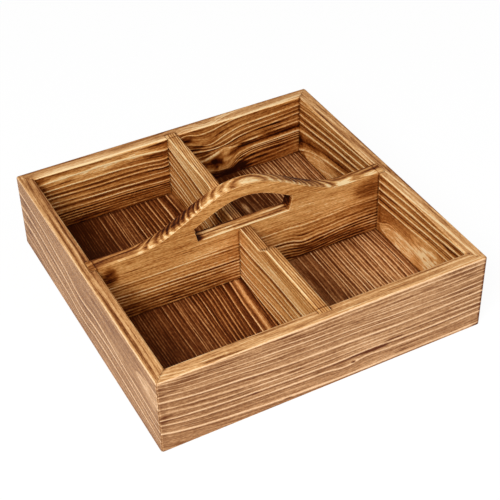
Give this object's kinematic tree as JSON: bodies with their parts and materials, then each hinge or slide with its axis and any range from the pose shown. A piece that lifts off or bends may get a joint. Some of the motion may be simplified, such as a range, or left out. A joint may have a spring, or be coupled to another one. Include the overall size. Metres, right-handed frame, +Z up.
{
  "type": "compartment serving dish",
  "caption": "Square burnt-pine serving dish with compartments, crossed dividers and an arched carrying grip with a hand slot.",
  "frame": {"origin": "on the surface that the dish stands on, under the middle of its outline", "axes": "+Z up; +X to the right along the handle board; +Y from the front wall to the back wall"},
  "size_m": [0.3, 0.3, 0.11],
  "materials": {
    "wall_pine": "flame-burnt and brushed pine under satin varnish",
    "floor_pine": "deeply scorched and brushed pine under satin varnish",
    "handle_pine": "lightly burnt pine, rounded and varnished",
    "divider_pine": "flame-burnt and brushed pine under satin varnish",
    "pin_steel": "plain bright steel"
  },
  "bodies": {
    "root": {"front_wall": "wall_pine", "right_wall": "wall_pine", "back_wall": "wall_pine", "left_wall": "wall_pine", "floor_board_left": "floor_pine", "floor_board_middle": "floor_pine", "floor_board_right": "floor_pine", "handle_board": "handle_pine", "cross_divider": "divider_pine", "floor_pin_front_1": "pin_steel", "floor_pin_front_2": "pin_steel", "floor_pin_front_3": "pin_steel", "floor_pin_front_4": "pin_steel", "floor_pin_front_5": "pin_steel", "floor_pin_front_6": "pin_steel", "floor_pin_back_1": "pin_steel", "floor_pin_back_2": "pin_steel", "floor_pin_back_3": "pin_steel", "floor_pin_back_4": "pin_steel", "floor_pin_back_5": "pin_steel", "floor_pin_back_6": "pin_steel", "floor_pin_left_1": "pin_steel", "floor_pin_left_2": "pin_steel", "floor_pin_left_3": "pin_steel", "floor_pin_right_1": "pin_steel", "floor_pin_right_2": "pin_steel", "floor_pin_right_3": "pin_steel", "floor_pin_handle_1": "pin_steel", "floor_pin_handle_2": "pin_steel", "floor_pin_handle_3": "pin_steel", "floor_pin_handle_4": "pin_steel", "floor_pin_divider_1": "pin_steel", "floor_pin_divider_2": "pin_steel"}
  },
  "joints": []
}
